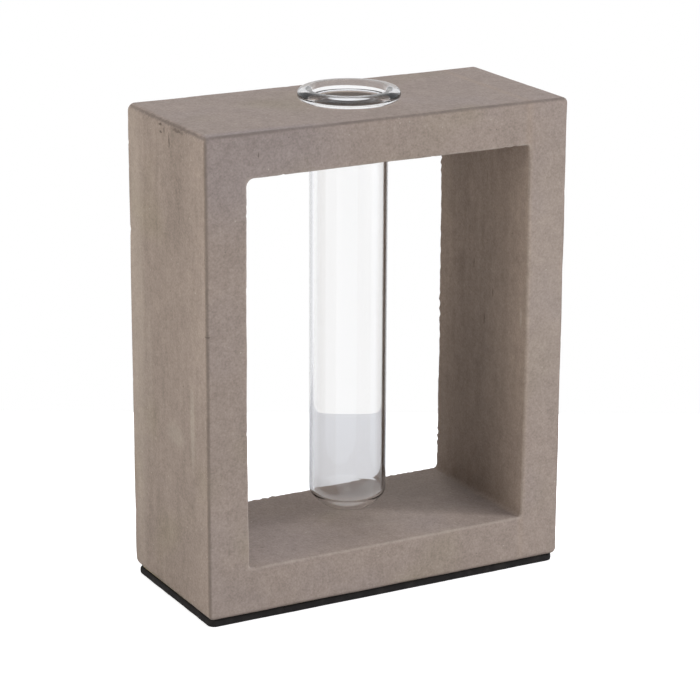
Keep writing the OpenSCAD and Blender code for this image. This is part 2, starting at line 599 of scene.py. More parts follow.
concrete = bpy.data.materials.new("cast_concrete")
grow(
    casting,
    cast_skin_tree(),
    {
        "Wave Depth": 0.16 * MM,
        "Wave Size": 26 * MM,
        "Crumb Depth": 0.55 * MM,
        "Crumb Size": 3.4 * MM,
        "Crumb Threshold": 0.6,
        "Crumb Softness": 0.12,
        "Seed": 4.0,
        "Finish": concrete,
    },
)


def keep_inside(thing, low, high):
    """Brings the points that lie past the real size back onto it."""
    points = points_of(thing.data)
    inside = np.clip(points, low, high)
    thing.data.vertices.foreach_set("co", inside.ravel())
    thing.data.update()
    print(thing.name, "points brought back:", int((inside != points).any(axis=1).sum()))


keep_inside(casting, casting_low, casting_high)

# %% [markdown]
# ## The glass tube
#
# A test tube is drawn from glass pipe: a straight wall, a closed end, and a mouth
# that is softened in the flame and rolled outwards into a rim. All of it is round, so one
# outline turned about the axis gives the whole tube, with its inner and outer wall as one
# closed skin. Glass needs both walls, because the light bends at each.
#
# The closed end isn't a half ball: it is a shallow dish, a wide crown with a tighter
# shoulder, and its wall is as thick as the rest. Inner and outer face stay parallel there,
# so the end bends light only a little and shows what is behind it. The rim is a round bead
# that rests on the concrete, and the wall slopes out to meet it. A flat underside would act
# as a mirror and ring the mouth with white, where the real one shows the dark hole.
#
# The outline below starts at the lowest point, goes up the outer wall, round the rim and
# down the inner wall to the bottom. The Geometry Nodes tree then turns it on a lathe.

# %% The tube's outline
CROWN_STEPS = 18
SHOULDER_STEPS = 12
TUBE_SIDE_STEPS = 24
NECK_STEPS = 10
RIM_STEPS = 30

CROWN_R = 14.5 * MM
SHOULDER_R = 3.25 * MM
NECK_HEIGHT = 1.5 * MM
BEAD_START = -140
BEAD_GAP = 0.05 * MM

bore_radius = TUBE_RADIUS - TUBE_WALL
bead_radius = (RIM_HEIGHT - BEAD_GAP) / 2
bead_height = tube_high[2] - bead_radius


def arc(centre, radius, start, end, steps):
    """Points on an arc in the outline's plane, with the angles in degrees."""
    turns = [math.radians(start + (end - start) * k / steps) for k in range(steps + 1)]
    return [(centre[0] + radius * math.cos(t), centre[1] + radius * math.sin(t)) for t in turns]


def straight(start, end, steps):
    """Points between two points of the outline, without either."""
    shares = [k / steps for k in range(1, steps)]
    return [(start[0] + (end[0] - start[0]) * k, start[1] + (end[1] - start[1]) * k) for k in shares]


def closed_end(inset):
    """Points of the closed end, inside its outer face by inset, from the axis out to the upright wall."""
    radius, crown_r, shoulder_r = [size - inset for size in (TUBE_RADIUS, CROWN_R, SHOULDER_R)]
    crown_height = tube_low[2] + inset + crown_r
    turn = math.asin((radius - shoulder_r) / (crown_r - shoulder_r))
    shoulder_height = crown_height - (crown_r - shoulder_r) * math.cos(turn)
    meet = -90 + math.degrees(turn)
    crown = arc((0, crown_height), crown_r, -90, meet, CROWN_STEPS)
    shoulder = arc((radius - shoulder_r, shoulder_height), shoulder_r, meet, 0, SHOULDER_STEPS)
    crown[0] = (0, crown[0][1])
    return crown + shoulder[1:]


def tube_outline():
    """Radius and height of each point of the outline, from the lowest point round to the inner bottom."""
    outline = closed_end(0)
    inner = closed_end(TUBE_WALL)[::-1]
    neck = (TUBE_RADIUS, casting_high[2] - NECK_HEIGHT)
    bead = arc((RIM_RADIUS - bead_radius, bead_height), bead_radius, BEAD_START, 90, RIM_STEPS)
    outline += straight(outline[-1], neck, TUBE_SIDE_STEPS) + [neck]
    outline += straight(neck, bead[0], NECK_STEPS) + bead
    outline += arc((bore_radius + bead_radius, bead_height), bead_radius, 90, 180, RIM_STEPS // 2)
    return outline + straight((bore_radius, bead_height), inner[0], TUBE_SIDE_STEPS) + inner


outline = tube_outline()
outline_mesh = bpy.data.meshes.new("tube outline")
outline_edges = [(k, k + 1) for k in range(len(outline) - 1)]
outline_mesh.from_pydata([(radius, 0, height) for radius, height in outline], outline_edges, [])
tube = scene_object("hanging_tube", outline_mesh)
print("outline points:", len(outline))


# %% The lathe
def lathe_tree():
    tree, given, result = new_tree(
        "lathe",
        "GeometryNodeTree",
        [
            ("Outline", "Geometry", None),
            ("Turn Steps", "Int", 96),
            ("Join Distance", "Float", 0.01 * MM),
            ("Finish", "Material", None),
        ],
        [("Geometry", "Geometry")],
    )
    source, turn_steps = given["Outline"], given["Turn Steps"]
    count = place(tree, "GeometryNodeAttributeDomainSize", {0: source}).outputs["Point Count"]
    columns = sums(tree, "ADD", turn_steps, 1.0)
    grid = place(tree, "GeometryNodeMeshGrid", {"Vertices X": count, "Vertices Y": columns})
    index = place(tree, "GeometryNodeInputIndex").outputs[0]
    step = sums(tree, "MODULO", index, columns)
    along = sums(tree, "FLOOR", sums(tree, "DIVIDE", sums(tree, "ADD", index, 0.5), columns))
    here = place(tree, "GeometryNodeInputPosition").outputs[0]
    feed = {"Geometry": source, "Value": here, "Index": along}
    point = place(tree, "GeometryNodeSampleIndex", feed, data_type="FLOAT_VECTOR", domain="POINT")
    radius, _, height = split(tree, point.outputs[0])
    angle = weigh(tree, sums(tree, "DIVIDE", step, turn_steps), 2 * math.pi)
    across = [sums(tree, "MULTIPLY", radius, sums(tree, way, angle)) for way in ("COSINE", "SINE")]
    feed = {0: across[0], 1: across[1], 2: height}
    turned = place(tree, "ShaderNodeCombineXYZ", feed).outputs[0]
    feed = {"Geometry": grid.outputs["Mesh"], "Position": turned}
    shaped = place(tree, "GeometryNodeSetPosition", feed).outputs[0]
    feed = {"Geometry": shaped, "Distance": given["Join Distance"]}
    joined = place(tree, "GeometryNodeMergeByDistance", feed).outputs[0]
    end_tree(tree, given, result, joined)
    return tree


glass = bpy.data.materials.new("clear_glass")
grow(tube, lathe_tree(), {"Turn Steps": 128, "Join Distance": 0.01 * MM, "Finish": glass})
turn_outwards(tube)

# %% [markdown]
# ## The foam pad
#
# The pad is cut from a sheet of near-black foam, slightly smaller than the casting. A
# knife through soft foam leaves a wall that isn't quite straight, and the weight above
# makes it belly out a little half way up. The same `ring` as before gives its outline,
# seen from above this time, and a few rows give its wall.

# %% Build the pad
PAD_RADII = np.array([2.5, 2.5, 2.5, 2.5]) * MM
PAD_EDGE_R = 0.35 * MM
PAD_EDGE_SHARE = 0.3
PAD_WANDER = 0.12 * MM
PAD_SLOW_SHARE, PAD_QUICK_SHARE = 0.5, 0.25
PAD_BELLY = 0.15 * MM
PAD_ROWS = 8


def pad_object():
    flat, ways = ring((pad_low[0], pad_low[1]), (pad_high[0], pad_high[1]), PAD_RADII)
    height = pad_high[2] - pad_low[2]
    shares = 1 + PAD_SLOW_SHARE * wander(21, SLOW_WAVES) + PAD_QUICK_SHARE * wander(22, QUICK_WAVES)
    cut = np.maximum(PAD_WANDER * shares, 0)
    middle = height - 2 * PAD_EDGE_R
    bevel = PAD_EDGE_R * PAD_EDGE_SHARE
    levels = [(PAD_EDGE_R, 0), (bevel, bevel)]
    levels += [(0, PAD_EDGE_R + middle * k / PAD_ROWS) for k in range(PAD_ROWS + 1)]
    levels += [(bevel, height - bevel), (PAD_EDGE_R, height)]
    points = []
    for inset, level in levels:
        belly = PAD_BELLY * (1 - (2 * level / height - 1) ** 2)
        moved = flat - ways * (inset + cut + PAD_BELLY - belly)[:, None]
        points.append(np.column_stack([moved, np.full(RING_COUNT, pad_low[2] + level)]))
    faces = []
    for j in range(len(levels) - 1):
        for c in range(RING_COUNT):
            here, above, beside = j * RING_COUNT, (j + 1) * RING_COUNT, (c + 1) % RING_COUNT
            faces.append((here + c, here + beside, above + beside, above + c))
    faces.append(range(RING_COUNT))
    faces.append([(len(levels) - 1) * RING_COUNT + c for c in range(RING_COUNT)][::-1])
    return solid_object("foam_pad", np.concatenate(points), faces)


pad = pad_object()

# %% [markdown]
# ## Effects that finishes share
#
# Concrete and foam both have a soft cloudiness and small open pores, at different sizes.
# Each effect is a node group, built once, with its size and strength as named inputs. A
# group gives back only a value, and the material decides what to do with it.
#
# `clouds` is noise brought to run from about -1 to 1. `pores` scatters round dimples: it
# takes the nearest cell centre, keeps a share of the cells, and draws each kept one with
# its own radius. `mark` is a single soft egg-shaped spot at a chosen place.

# %% Build the shared groups
CLOUD_GAIN = 4.0
LEAST_PORE_SHARE = 0.3
PORE_FLOOR_SHARE = 0.4


def clouds_group():
    tree, given, result = new_tree(
        "clouds",
        "ShaderNodeTree",
        [
            ("Vector", "Vector", None),
            ("Size", "Float", 10 * MM),
            ("Detail", "Float", 2.0),
            ("Seed", "Float", 0.0),
        ],
        [("Value", "Float")],
    )
    noise = noise_of(tree, given["Vector"], given["Size"], given["Detail"], given["Seed"])
    centred = weigh(tree, sums(tree, "SUBTRACT", noise, 0.5), CLOUD_GAIN)
    connect(tree, result, {"Value": centred})
    return tree


def pores_group():
    tree, given, result = new_tree(
        "pores",
        "ShaderNodeTree",
        [
            ("Vector", "Vector", None),
            ("Spacing", "Float", 5 * MM),
            ("Radius", "Float", 0.5 * MM),
            ("Kept", "Float", 0.5),
            ("Seed", "Float", 0.0),
        ],
        [("Mask", "Float")],
    )
    scale = sums(tree, "DIVIDE", 1.0, given["Spacing"])
    feed = {"Vector": given["Vector"], "W": given["Seed"], "Scale": scale}
    cells = place(tree, "ShaderNodeTexVoronoi", feed, voronoi_dimensions="4D").outputs
    chance = place(tree, "ShaderNodeSeparateColor", {0: cells["Color"]}).outputs
    size_share = sums(tree, "ADD", weigh(tree, chance[1], 1 - LEAST_PORE_SHARE), LEAST_PORE_SHARE)
    size = sums(tree, "DIVIDE", given["Radius"], given["Spacing"])
    size = sums(tree, "MULTIPLY", size, size_share)
    dimple = share_of(tree, cells["Distance"], size, weigh(tree, size, PORE_FLOOR_SHARE))
    kept = sums(tree, "LESS_THAN", chance[0], given["Kept"])
    connect(tree, result, {"Mask": sums(tree, "MULTIPLY", dimple, kept)})
    return tree


def mark_group():
    tree, given, result = new_tree(
        "mark",
        "ShaderNodeTree",
        [
            ("Vector", "Vector", None),
            ("Centre", "Vector", None),
            ("Reach", "Vector", None),
            ("Core", "Float", 0.5),
        ],
        [("Mask", "Float")],
    )
    away = vectors(tree, "SUBTRACT", given["Vector"], given["Centre"])
    shares = vectors(tree, "DIVIDE", away, given["Reach"])
    distance = vectors(tree, "LENGTH", shares, output="Value")
    connect(tree, result, {"Mask": share_of(tree, distance, 1.0, given["Core"])})
    return tree


clouds = clouds_group()
pores = pores_group()
mark = mark_group()


def effect(tree, group, **inputs):
    """Places a shared group in a material and returns its output."""
    feed = {name.title(): value for name, value in inputs.items()}
    return place(tree, "ShaderNodeGroup", feed, node_tree=group).outputs[0]


print("shared groups:", clouds.name, pores.name, mark.name)

# %% [markdown]
# ## Cast concrete
#
# Cement paste dries unevenly, so the grey drifts between a warm brown, a faint purple and
# an olive. Over that lie finer layers: patches of a few millimetres, grains of sand, pale
# specks and small dark pits where air was trapped. The side faces also carry long faint
# streaks and short strokes from the mould being drawn off; they are a little paler beside
# their upright edges and carry painted shade towards the foot. The outer edges carry a thin
# line of painted shade, the window's edges a painted highlight, and the wall of the tube's
# hole is painted dark as the shade inside it.
#
# Last come a few marks that this one casting has, such as a smear and a scratch. They are
# placed one by one. A few of them are painted light instead: painted shade low on the wall
# inside the window, a warm painted bounce of light over that wall, and a lighter front on
# the right post where the lamps on the right light it. Everything reads object coordinates
# or the edge attributes, so it stays put on the casting from all sides.

# %% Colour helpers
# The Mix node's two colour sockets.
MIX_A, MIX_B = 6, 7


def tint(tree, factor, base, other):
    """Mixes two colours by a factor."""
    feed = {0: factor, MIX_A: base, MIX_B: other}
    return place(tree, "ShaderNodeMix", feed, data_type="RGBA").outputs[2]


def brighten(tree, colour, amount):
    """Multiplies a colour by one plus an amount."""
    factor = sums(tree, "ADD", 1.0, amount)
    grey = place(tree, "ShaderNodeCombineXYZ", {0: factor, 1: factor, 2: factor}).outputs[0]
    feed = {0: 1.0, MIX_A: colour, MIX_B: grey}
    return place(tree, "ShaderNodeMix", feed, data_type="RGBA", blend_type="MULTIPLY").outputs[2]


def axis_distance(tree, here):
    """How far a point is from the tube's axis."""
    return vectors(tree, "LENGTH", vectors(tree, "MULTIPLY", here, (1.0, 1.0, 0.0)), output="Value")


def start_material(material):
    """Empties a material's tree. Returns the tree, a new Principled shader and object coordinates."""
    material.use_nodes = True
    tree = material.node_tree
    tree.nodes.clear()
    shader = place(tree, "ShaderNodeBsdfPrincipled")
    place(tree, "ShaderNodeOutputMaterial", {0: shader.outputs[0]})
    return tree, shader, place(tree, "ShaderNodeTexCoord").outputs["Object"]


def raise_surface(tree, shader, height):
    """Feeds a height in metres to the shader as bump."""
    bump = place(tree, "ShaderNodeBump", {"Height": height, "Distance": 1.0, "Strength": 1.0})
    connect(tree, shader, {"Normal": bump.outputs[0]})


# %% Colours and marks of this casting
CEMENT = (0.342, 0.281, 0.244, 1)
CEMENT_PURPLE = (0.312, 0.266, 0.254, 1)
CEMENT_OLIVE = (0.318, 0.27, 0.208, 1)
# painted light: warmer and brighter cement, standing in for light bounced inside the window
CEMENT_BOUNCE_LIGHT = (0.376, 0.298, 0.244, 1)
CEMENT_PALE = (0.56, 0.5, 0.43, 1)
PIT_SHADE = (0.12, 0.095, 0.08, 1)
EDGE_SHADE = (0.17, 0.138, 0.118, 1)

LEFT = casting_low[0] / MM
FRONT_MM = casting_low[1] / MM
TOP_MM = casting_high[2] / MM
SILL_MM = SILL / MM
WALL_MM = WINDOW_WIDTH / 2 / MM

# Each mark: its centre and its reach along X, Y and Z in millimetres, and its strength.
DARK_MARKS = (
    ((LEFT + 0.34, 0, TOP_MM - 0.34), (1.2, 60, 1.2), 0.6),
    ((LEFT, 3, 151.5), (1.5, 1.5, 0.6), 0.9),
    ((LEFT, 0.5, 150.4), (1.5, 0.5, 1.8), 0.9),
    ((LEFT, 2.8, 149.4), (1.5, 1.2, 0.5), 0.8),
    ((LEFT, -3, 147.6), (1.5, 0.45, 3.4), 0.95),
    ((LEFT, -9, 151.8), (1.5, 5.5, 0.6), 0.7),
    ((-45, FRONT_MM, 146.4), (0.35, 1.5, 1.1), 0.7),
    ((LEFT + 0.6, FRONT_MM + 0.6, 93), (1.1, 1.1, 0.45), 0.8),
    ((-37, -13, SILL_MM), (1.1, 0.45, 1.5), 0.7),
    ((WALL_MM, -2, 44), (2, 7, 6), 0.18),
    # painted shade: the low back of the wall inside the window, where shade gathers
    ((WALL_MM, 8, 42), (2, 45, 58), 0.22),
    ((-21, 9.6, TOP_MM), (14, 5, 2), 0.1),
    ((LEFT, 3, 98), (2, 22, 44), 0.07),
    ((WALL_MM, 12, 92), (2, 4, 9), 0.15),
)
PALE_MARKS = (
    ((LEFT, -17, 62), (2, 2.2, 19), 0.3),
    ((LEFT, -5, 56), (2, 9, 5), 0.22),
    ((LEFT, 14, 70), (2, 4, 40), 0.1),
    ((WALL_MM, FRONT_MM + 3.4, 83), (2, 0.8, 4.5), 0.5),
    ((20, -8, SILL_MM), (30, 9, 2), 0.06),
    # painted light: the front of the right post made lighter, as the lamps on the right light it more
    ((56, FRONT_MM, 95), (14, 3, 62), 0.09),
    ((LEFT, 22, 80), (2, 8, 120), 0.2),
    ((32, 12, SILL_MM), (24, 18, 2), 0.1),
)
# painted bounce light: the wall inside the window made warmer and brighter
BOUNCE_LIGHT_MARKS = (((WALL_MM, 0, 84), (2.5, 70, 130), 0.9),)
PURPLE_MARKS = (
    ((-50, FRONT_MM, 148), (48, 6, 32), 0.75),
    ((-38, -8, SILL_MM), (34, 30, 4), 0.4),
)
CROWDED_PITS = (((LEFT, -7, 134), (12, 11, 34), 1.0),)
WALL_PITS = (((WALL_MM, -4, 88), (3, 20, 50), 0.6),)
print("dark marks:", len(DARK_MARKS), "pale marks:", len(PALE_MARKS))

# %% Layers of the concrete
# Soft layers: size in millimetres, detail and seed.
CLOUD_LAYERS = {
    "drift": (24, 2.0, 1.0),
    "olive": (31, 1.0, 2.0),
    "patches": (5, 3.0, 3.0),
    "blots": (1.9, 2.0, 9.0),
    "grains": (0.6, 2.0, 4.0),
    "streaks": (2.4, 1.0, 5.0),
    "shake": (1.3, 2.0, 8.0),
}
# Spots and dimples: spacing and radius in millimetres, share kept and seed.
PORE_LAYERS = {
    "specks": (1.9, 0.42, 0.4, 6.0),
    "pits": (2.1, 0.36, 0.4, 7.0),
    "strokes": (1.3, 0.42, 0.6, 10.0),
}
DRAWN_LAYERS = ("streaks", "strokes")
DRAWN_SHARES = (1.0, 1.0, 0.14)
SHAKE_REACH = 0.35 * MM
SIDEWAYS = (0.5, 0.9)
STROKES_ANYWHERE, STROKES_IN_CROWD = 0.25, 0.75
MARK_CORE, CROWD_CORE = 0.3, 0.2


def any_mark(tree, here, marks, core=MARK_CORE):
    """The strongest of several marks at each point."""
    total = 0.0
    for centre, reach, strength in marks:
        centre_m, reach_m = [tuple(v * MM for v in part) for part in (centre, reach)]
        spot = effect(tree, mark, vector=here, centre=centre_m, reach=reach_m, core=core)
        total = sums(tree, "MAXIMUM", total, weigh(tree, spot, strength))
    return total


def concrete_layers(tree, here):
    """All layers by name, with the side faces, the crowd of pits and slightly shaken coordinates."""
    drawn = vectors(tree, "MULTIPLY", here, DRAWN_SHARES)
    way = {name: drawn if name in DRAWN_LAYERS else here for name in (*CLOUD_LAYERS, *PORE_LAYERS)}
    made = {}
    for name, (size, detail, seed) in CLOUD_LAYERS.items():
        made[name] = effect(tree, clouds, vector=way[name], size=size * MM, detail=detail, seed=seed)
    for name, (spacing, radius, kept, seed) in PORE_LAYERS.items():
        sizes = {"spacing": spacing * MM, "radius": radius * MM, "kept": kept, "seed": seed}
        made[name] = effect(tree, pores, vector=way[name], **sizes)
    normal = place(tree, "ShaderNodeTexCoord").outputs["Normal"]
    sideways = sums(tree, "ABSOLUTE", split(tree, normal)[0])
    made["on side"] = share_of(tree, sideways, *SIDEWAYS)
    made["shaken"] = vectors(tree, "ADD", here, weigh(tree, made["shake"], SHAKE_REACH))
    made["crowd"] = any_mark(tree, made["shaken"], CROWDED_PITS, core=CROWD_CORE)
    many = weigh(tree, made["crowd"], STROKES_IN_CROWD)
    many = sums(tree, "MAXIMUM", many, any_mark(tree, made["shaken"], WALL_PITS))
    many = sums(tree, "ADD", many, STROKES_ANYWHERE)
    made["streaks"] = sums(tree, "MULTIPLY", made["streaks"], made["on side"])
    made["strokes"] = sums(tree, "MULTIPLY", made["strokes"], made["on side"])
    made["strokes"] = sums(tree, "MULTIPLY", made["strokes"], many)
    return made


print("layers:", [*CLOUD_LAYERS, *PORE_LAYERS])

# %% The concrete finish
PURPLE_LIMITS, PURPLE_DRIFT = (0.0, 0.8), 0.3
OLIVE_LIMITS, OLIVE_DRIFT = (0.2, 1.0), 0.6
SPECKS, PITS, WINDOW_HIGHLIGHT, HOLE_SHADE = 0.7, 0.55, 0.35, 0.75
UPRIGHT_EDGE = (14 * MM, 25 * MM)
FOOT_SHADE_LIMITS = (120 * MM, 20 * MM)
SHADED_EDGE = (0.55, 0.84)
HIGHLIGHT_EDGE = (0.62, 0.84)
EDGE_PATCH, EDGE_PATCH_DRIFT, EDGE_SHADE_MORE = 0.5, 0.22, 0.15
HOLE_WALL = (HOLE_RADIUS + 0.3 * MM, HOLE_RADIUS + 0.1 * MM)
ABOVE_SILL = (SILL + 5 * MM, LINTEL - 5 * MM)
# How much brighter or darker each layer makes the cement.
TONES = {
    "patches": 0.09,
    "grains": 0.18,
    "blots": 0.06,
    "streaks": 0.07,
    "drift": 0.025,
    "upright edge": 0.1,
    # painted shade: the side faces darker towards the foot, where the lamps reach less
    "shade at foot": -0.07,
    "crowd": -0.11,
}
# How far each layer raises or sinks the surface.
HEIGHTS = {
    "patches": 0.02 * MM,
    "grains": 0.016 * MM,
    "blots": 0.014 * MM,
    "streaks": 0.02 * MM,
    "dark": -0.18 * MM,
}
CONCRETE_ROUGHNESS, ROUGHNESS_DRIFT = 0.86, 0.04


def added(tree, layers, weights):
    """The sum of some layers, each times its weight."""
    total = 0.0
    for name, weight in weights.items():
        total = sums(tree, "ADD", total, weigh(tree, layers[name], weight))
    return total


def cement_colour(tree, here, layers):
    """The grey of the cement, with its drift and its tones, and painted bounce light and shade."""
    purple = weigh(tree, share_of(tree, layers["drift"], *PURPLE_LIMITS), PURPLE_DRIFT)
    purple = sums(tree, "MAXIMUM", purple, any_mark(tree, here, PURPLE_MARKS))
    purple = sums(tree, "MULTIPLY", purple, sums(tree, "SUBTRACT", 1.0, layers["on side"]))
    olive = weigh(tree, share_of(tree, layers["olive"], *OLIVE_LIMITS), OLIVE_DRIFT)
    colour = tint(tree, purple, CEMENT, CEMENT_PURPLE)
    colour = tint(tree, olive, colour, CEMENT_OLIVE)
    colour = tint(tree, any_mark(tree, here, BOUNCE_LIGHT_MARKS), colour, CEMENT_BOUNCE_LIGHT)
    _, depth, height = split(tree, here)
    upright = share_of(tree, sums(tree, "ABSOLUTE", depth), *UPRIGHT_EDGE)
    layers["upright edge"] = sums(tree, "MULTIPLY", upright, layers["on side"])
    # painted shade towards the foot on the side faces
    layers["shade at foot"] = sums(tree, "MULTIPLY", share_of(tree, height, *FOOT_SHADE_LIMITS), layers["on side"])
    return brighten(tree, colour, added(tree, layers, TONES))


def shade_and_highlight_edges(tree, colour, patches):
    """Painted shade along the outer edges, and a painted highlight on the window's edges."""
    outer, window = [
        place(tree, "ShaderNodeAttribute", attribute_name=name).outputs["Fac"]
        for name in ("outer_edge", "window_edge")
    ]
    patchy = sums(tree, "ADD", EDGE_PATCH, weigh(tree, patches, EDGE_PATCH_DRIFT))
    # painted shade: a thin dark line along the outer edges, where little light reaches their rounding
    outer_shade = sums(tree, "ADD", patchy, EDGE_SHADE_MORE)
    outer_shade = sums(tree, "MULTIPLY", share_of(tree, outer, *SHADED_EDGE), outer_shade)
    # painted highlight: a pale line on the window's rounded edges, where the high lamp catches them
    painted_highlight = sums(tree, "MULTIPLY", share_of(tree, window, *HIGHLIGHT_EDGE), patchy)
    colour = tint(tree, outer_shade, colour, EDGE_SHADE)
    return tint(tree, weigh(tree, painted_highlight, WINDOW_HIGHLIGHT), colour, CEMENT_PALE)


def finish_concrete(material):
    tree, shader, here = start_material(material)
    layers = concrete_layers(tree, here)
    colour = cement_colour(tree, here, layers)
    colour = tint(tree, weigh(tree, layers["specks"], SPECKS), colour, CEMENT_PALE)
    colour = tint(tree, any_mark(tree, layers["shaken"], PALE_MARKS), colour, CEMENT_PALE)
    dark = sums(tree, "MAXIMUM", weigh(tree, layers["pits"], PITS), layers["strokes"])
    layers["dark"] = sums(tree, "MAXIMUM", dark, any_mark(tree, layers["shaken"], DARK_MARKS))
    colour = tint(tree, layers["dark"], colour, PIT_SHADE)
    colour = shade_and_highlight_edges(tree, colour, layers["patches"])
    # painted shade: the wall of the tube's hole is darkened as the shade inside the hole
    shade_in_hole = share_of(tree, axis_distance(tree, here), *HOLE_WALL)
    shade_in_hole = sums(tree, "MULTIPLY", shade_in_hole, share_of(tree, split(tree, here)[2], *ABOVE_SILL))
    colour = tint(tree, weigh(tree, shade_in_hole, HOLE_SHADE), colour, PIT_SHADE)
    rough = sums(tree, "ADD", CONCRETE_ROUGHNESS, weigh(tree, layers["patches"], ROUGHNESS_DRIFT))
    connect(tree, shader, {"Base Color": colour, "Roughness": rough, "Specular IOR Level": 0.3})
    raise_surface(tree, shader, added(tree, layers, HEIGHTS))
    print(material.name, "has", len(tree.nodes), "nodes")


finish_concrete(concrete)

# %% [markdown]
# ## Clear glass
#
# Good glass has hardly any colour: what shows is what it bends and mirrors. So the finish
# is a smooth surface that lets nearly all light through, with faint smears from handling,
# and the detail comes from the two walls and the round rim. Only where one looks along the
# outer wall, at the tube's two sides, is it painted greyer: painted shade that draws the
# dark lines of the tube's outline. A Layer Weight node finds that place.
#
# Cycles lets no light of a lamp through glass without caustics, which would leave a black
# shadow. A transparent shader for shadow rays gives the faint shadow of a clear tube.

# %% The glass finish
GLASS_SHADE = (0.93, 0.93, 0.93, 1)
CLEAR = (0.999, 0.999, 1, 1)
OUTLINE_SHADE = (0.5, 0.51, 0.53, 1)
OUTER_WALL = (TUBE_RADIUS - 0.5 * TUBE_WALL, TUBE_RADIUS - 0.3 * TUBE_WALL)
SEEN_ALONG = (0.55, 0.7)
SMEARS = (0.4, 1.6)
SMEAR_ROUGHNESS = 0.02


def finish_glass(material):
    tree, shader, here = start_material(material)
    smears = effect(tree, clouds, vector=here, size=9 * MM, detail=3.0, seed=11.0)
    rough = weigh(tree, share_of(tree, smears, *SMEARS), SMEAR_ROUGHNESS)
    outside = share_of(tree, axis_distance(tree, here), *OUTER_WALL)
    facing = place(tree, "ShaderNodeLayerWeight", {"Blend": 0.5}).outputs["Facing"]
    # painted shade along the tube's outline
    outline_shade = sums(tree, "MULTIPLY", share_of(tree, facing, *SEEN_ALONG), outside)
    colour = tint(tree, outline_shade, CLEAR, OUTLINE_SHADE)
    connect(tree, shader, {"Base Color": colour, "Roughness": rough, "IOR": 1.5, "Transmission Weight": 1.0})

    output = next(node for node in tree.nodes if node.type == "OUTPUT_MATERIAL")
    for_lamps = place(tree, "ShaderNodeBsdfTransparent", {0: GLASS_SHADE}).outputs[0]
    shadow_ray = place(tree, "ShaderNodeLightPath").outputs["Is Shadow Ray"]
    mix = place(tree, "ShaderNodeMixShader", {0: shadow_ray, 1: shader.outputs[0], 2: for_lamps})
    connect(tree, output, {0: mix.outputs[0]})
    print(material.name, "has", len(tree.nodes), "nodes")


finish_glass(glass)

# %% [markdown]
# ## Foam and adhesive
#
# The foam is near black with a fine open texture where the knife cut through its cells,
# and it holds a little dust. The adhesive is a thin amber film on its upper side. It is
# out of sight behind the pad's edge, but whoever turns the vase over or opens it finds it.

# %% The foam and adhesive finishes
FOAM = (0.018, 0.0165, 0.0165, 1)
FOAM_DUST = (0.05, 0.046, 0.043, 1)
ADHESIVE = (0.46, 0.4, 0.27, 1)
ADHESIVE_DARK = (0.3, 0.25, 0.16, 1)
DUST_LIMITS, DUST = (-0.2, 1.4), 0.6
CELL_TONE = -0.4
PATCH_RISE, CELL_DROP, FILM_RIPPLE = 0.03 * MM, 0.08 * MM, 0.02 * MM


def finish_foam(material):
    tree, shader, here = start_material(material)
    cells = effect(tree, pores, vector=here, spacing=0.7 * MM, radius=0.34 * MM, kept=0.8, seed=12.0)
    patches = effect(tree, clouds, vector=here, size=4 * MM, detail=3.0, seed=13.0)
    dust = share_of(tree, patches, *DUST_LIMITS)
    colour = tint(tree, weigh(tree, dust, DUST), FOAM, FOAM_DUST)
    colour = brighten(tree, colour, weigh(tree, cells, CELL_TONE))
    connect(tree, shader, {"Base Color": colour, "Roughness": 0.9, "Specular IOR Level": 0.3})
    height = sums(tree, "SUBTRACT", weigh(tree, patches, PATCH_RISE), weigh(tree, cells, CELL_DROP))
    raise_surface(tree, shader, height)


def finish_adhesive(material):
    tree, shader, here = start_material(material)
    patches = effect(tree, clouds, vector=here, size=6 * MM, detail=3.0, seed=14.0)
    colour = tint(tree, share_of(tree, patches, -1.0, 1.0), ADHESIVE, ADHESIVE_DARK)
    connect(tree, shader, {"Base Color": colour, "Roughness": 0.35})
    raise_surface(tree, shader, weigh(tree, patches, FILM_RIPPLE))


foam = bpy.data.materials.new("foam_rubber")
adhesive = bpy.data.materials.new("adhesive_film")
finish_foam(foam)
finish_adhesive(adhesive)
pad.data.materials.append(foam)

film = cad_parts["adhesive_film"]
film.data.materials.clear()
film.data.materials.append(adhesive)
print("foam and adhesive are finished")

# %% [markdown]
# ## What moves with what
#
# The tube lifts out of the frame, so it rides on the body `tube`. The casting and the pad
# belong to the body `frame`. Each piece stands for the CAD node of the same shape.

# %% Ride and replace
for piece, body, node, slot in (
    (casting, "frame", "concrete_frame", "concrete"),
    (pad, "frame", "base_pad", "foam"),
    (tube, "tube", "glass_tube", "glass"),
):
    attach(piece, body)
    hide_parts(node)
    print(piece.name, "rides on", body)

# %% [markdown]
# ## The camera
#
# The photograph looks a little down on the vase from its front left, from nearly a metre
# away through a long lens. We place the camera by its angles round the vase, which says
# more than three coordinates would.

# %% Place the camera
CAMERA_AZIMUTH = math.radians(-28.51)
CAMERA_ELEVATION = math.radians(17.12)
CAMERA_ROLL = math.radians(0.26)
CAMERA_DISTANCE = 893.55 * MM
CAMERA_TARGET = np.array([0.75, 0, 72.86]) * MM
LENS_MM = 145.5
SENSOR_MM = 36


def sight(azimuth, elevation):
    """Direction from the vase towards something at this azimuth and elevation."""
    level = math.cos(elevation)
    return np.array([math.sin(azimuth) * level, -math.cos(azimuth) * level, math.sin(elevation)])


def look_along(thing, place_at, back, roll=0.0):
    """Puts an object somewhere and turns its -Z axis against the direction back."""
    side = np.cross([0, 0, 1], back)
    side = side / np.linalg.norm(side)
    up = np.cross(back, side)
    turned_side = math.cos(roll) * side + math.sin(roll) * up
    turned_up = math.cos(roll) * up - math.sin(roll) * side
    matrix = np.eye(4)
    matrix[:3, :] = np.column_stack([turned_side, turned_up, back, place_at])
    thing.matrix_world = matrix.T


